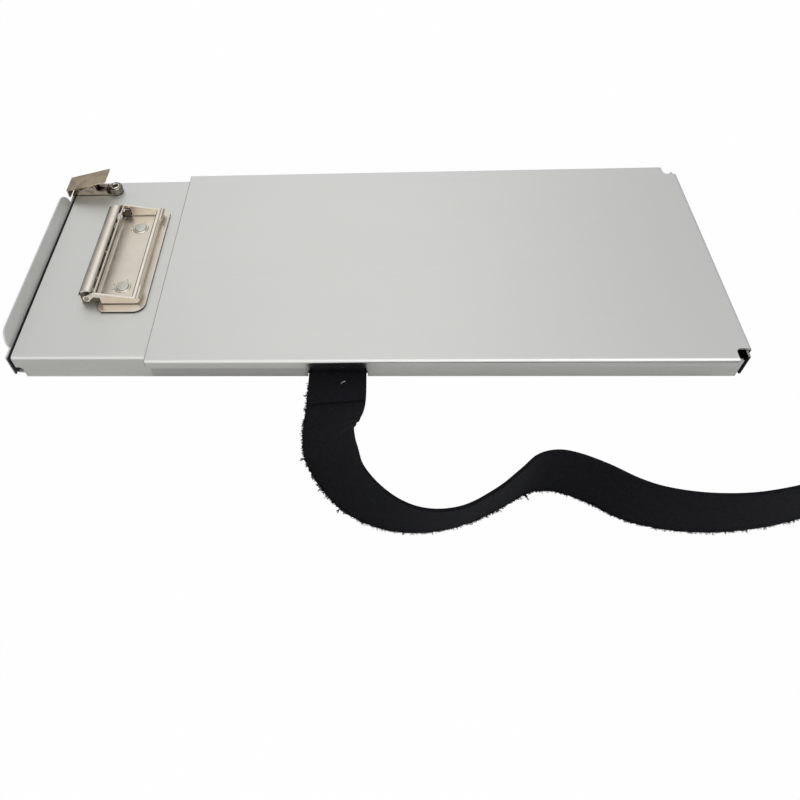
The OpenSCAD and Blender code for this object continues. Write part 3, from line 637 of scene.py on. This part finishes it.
# the strap's cloth: from and to are places on its route, low is the height of its underside
cloth = {"strap_band": {"node": "strap", "from": 0, "to": last, "side": 0, "low": 0,
                        "thick": strap["thick"], "slot": "strap_loop", "runs": strap["runs"],
                        "ragged": strap["ragged"], "sewn": [edgeFuzz, stitches, lintFibre]},
         "strap_root": {"node": "strap_root_layer", "from": 0, "to": strap["rootEnd"], "side": 0,
                        "low": onBand, "thick": strap["rootThick"], "slot": "strap_loop",
                        "runs": strap["layerRuns"], "ragged": 0, "sewn": []},
         "strap_hook": {"node": "strap_hook_patch", "from": last - strap["hookLength"],
                        "to": last - strap["hookShort"], "side": strap["hookSide"], "low": onBand,
                        "thick": strap["hookThick"], "slot": "strap_hook",
                        "runs": strap["layerRuns"], "ragged": 0, "sewn": []}}


def ribbon(name, spec):
    # a flat grid laid along the route, thickened upwards; UVs are in metres of cloth
    u0, u1, runs, side = spec["from"], spec["to"], spec["runs"], spec["side"]
    bm = bmesh.new()
    bmesh.ops.create_grid(bm, x_segments=runs, y_segments=strap["lanes"], size=0.5, calc_uvs=True)
    laid = bm.loops.layers.uv.verify()
    lengths = [0]
    for i in range(runs):
        a, b = (routeAt(u0 + (u1 - u0) * (i + k) / runs) for k in (0, 1))
        lengths.append(lengths[-1] + math.dist(a[:2], b[:2]) * mm)
    width = strap["width"] - 2 * side
    spot = {v: (v.co.x + 0.5, v.co.y + 0.5) for v in bm.verts}
    for face in bm.faces:
        for loop in face.loops:
            s, t = spot[loop.vert]
            loop[laid].uv = (lengths[round(s * runs)], t * width * mm)
    chance = random.Random(strap["seed"])
    for v, (s, t) in spot.items():
        slip = chance.uniform(-0.2, 1) * spec["ragged"] if t < 0.01 else 0
        v.co = strapPoint(u0 + (u1 - u0) * s, side + t * width - slip, spec["low"])[0]
    bmesh.ops.recalc_face_normals(bm, faces=bm.faces)
    centre, across, outward, along = strapPoint((u0 + u1) / 2, strap["width"] / 2, spec["low"])
    nearest = min(bm.faces, key=lambda f: (f.calc_center_median() - centre).length)
    if nearest.normal.dot(outward) > 0:
        bmesh.ops.reverse_faces(bm, faces=bm.faces)
    bmesh.ops.solidify(bm, geom=bm.faces[:], thickness=spec["thick"] * mm)
    piece = finished(name, bm, loopNylon, "housing", strap["smooth"])
    piece.data.uv_layers[0].name = "laid"
    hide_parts(spec["node"])
    return piece, (width * mm, lengths[-1])


for name, spec in cloth.items():
    piece, flat = ribbon(name, spec)
    print(name, "made,", round(flat[1], 4), "long")


# camera held by hand in front of the box, looking down at it
view = {"place": (3.262, -283.658, 262.526), "turn": (37.402, 2.882, 2.315), "lens": 31.59,
        "sensor": 36, "shift": (0.0913, -0.00125), "clip": (0.01, 20)}
camera = bpy.data.objects.new("camera", bpy.data.cameras.new("camera"))
camera.location = Vector(view["place"]) * mm
camera.rotation_euler = [math.radians(a) for a in view["turn"]]
camera.data.lens, camera.data.sensor_width = view["lens"], view["sensor"]
camera.data.shift_x, camera.data.shift_y = view["shift"]
camera.data.clip_start, camera.data.clip_end = view["clip"]
scene.collection.objects.link(camera)
scene.camera = camera

# pale matt paper under the object; the camera sees it nearly white, and metal sees part of that
paperLook = {"colour": "#bcbcba", "rough": 0.95, "seen": 0.985, "mirrored": 0.06, "half": 4, "under": 0.02}
bm = bmesh.new()
bmesh.ops.create_grid(bm, x_segments=1, y_segments=1, size=paperLook["half"],
                      matrix=Matrix.Translation((0, 0, -paperLook["under"] * mm)))
floor = bpy.data.objects.new("studio_floor", bpy.data.meshes.new("studio_floor"))
bm.to_mesh(floor.data)
bm.free()
scene.collection.objects.link(floor)
paper, tree, matt = newMaterial("white_paper", {"Base Color": linear(paperLook["colour"]),
                                                "Roughness": paperLook["rough"]})[:3]
rays = addNode(tree, "ShaderNodeLightPath")
seen = addNode(tree, "ShaderNodeMath", {1: paperLook["seen"]}, {0: rays.outputs["Is Camera Ray"]},
               operation="MULTIPLY").outputs[0]
share = addNode(tree, "ShaderNodeMath", {1: paperLook["mirrored"]}, {
    0: rays.outputs["Is Glossy Ray"], 2: seen}, operation="MULTIPLY_ADD").outputs[0]
glow = addNode(tree, "ShaderNodeEmission", {"Color": linear("#ffffff"), "Strength": 1.0}).outputs[0]
mixed = addNode(tree, "ShaderNodeMixShader", links={0: share, 1: matt.outputs[0], 2: glow}).outputs[0]
tree.links.new(mixed, tree.nodes["Material Output"].inputs["Surface"])
floor.data.materials.append(paper)

# a bright soft room: a level sky that changes with height, towards each side and to the front,
# with one low window at the back right, one high at the front right and a dim patch overhead;
# a slope is (axis, start, end, change) and a window (way, outer and inner half angle, strength)
room = {"colour": "#f6f7f5", "level": 0.66, "rise": 0.6,
        "slopes": [("X", -0.05, -0.7, -0.38), ("X", 0.05, 0.7, -0.97), ("Y", 0.3, -0.7, 0.45)],
        "windows": [((0.88, 0.40, 0.20), 42, 16, 0.7), ((0.48, -0.32, 0.82), 27, 13, 2.2),
                    ((-0.20, -0.12, 0.97), 46, 20, -0.5)]}
world = bpy.data.worlds.new("studio")
scene.world = world
world.use_nodes = True
tree = world.node_tree
rays = addNode(tree, "ShaderNodeLightPath")
direction = addNode(tree, "ShaderNodeTexCoord").outputs["Generated"]
parts = addNode(tree, "ShaderNodeSeparateXYZ", links={"Vector": direction})
level = addNode(tree, "ShaderNodeMath", {1: room["rise"], 2: room["level"]}, {0: parts.outputs["Z"]},
                operation="MULTIPLY_ADD").outputs[0]
changes = [(parts.outputs[axis], start, end, change) for axis, start, end, change in room["slopes"]]
for way, outer, inner, strength in room["windows"]:
    facing = addNode(tree, "ShaderNodeVectorMath", {1: Vector(way).normalized()}, {0: direction},
                     operation="DOT_PRODUCT").outputs["Value"]
    changes.append((facing, math.cos(math.radians(outer)), math.cos(math.radians(inner)), strength))
for source, start, end, change in changes:
    added = addNode(tree, "ShaderNodeMapRange", {
        "From Min": start, "From Max": end, "To Min": 0.0, "To Max": change},
        {"Value": source}, interpolation_type="SMOOTHSTEP").outputs[0]
    level = addNode(tree, "ShaderNodeMath", links={0: level, 1: added}, operation="ADD").outputs[0]
studio = addNode(tree, "ShaderNodeBackground", {"Color": linear(room["colour"])},
                 {"Strength": level}).outputs[0]
white = addNode(tree, "ShaderNodeBackground", {"Color": linear("#ffffff"), "Strength": 1.0}).outputs[0]
mixed = addNode(tree, "ShaderNodeMixShader", links={0: rays.outputs["Is Camera Ray"], 1: studio, 2: white})
tree.links.new(mixed.outputs[0], tree.nodes["World Output"].inputs["Surface"])

# one weak softbox high behind the box
softbox = {"place": (0.0, 0.8, 0.95), "aim": (0, 0, 0), "size": (0.8, 0.6), "power": 0.1}
light = bpy.data.lights.new("back_softbox", "AREA")
light.shape, light.energy = "RECTANGLE", softbox["power"]
light.size, light.size_y = softbox["size"]
lamp = bpy.data.objects.new("back_softbox", light)
lamp.location = softbox["place"]
lamp.rotation_euler = (Vector(softbox["aim"]) - lamp.location).to_track_quat("-Z", "Y").to_euler()
scene.collection.objects.link(lamp)
scene.view_settings.view_transform = "Standard"
print("studio made")

bpy.context.view_layer.update()
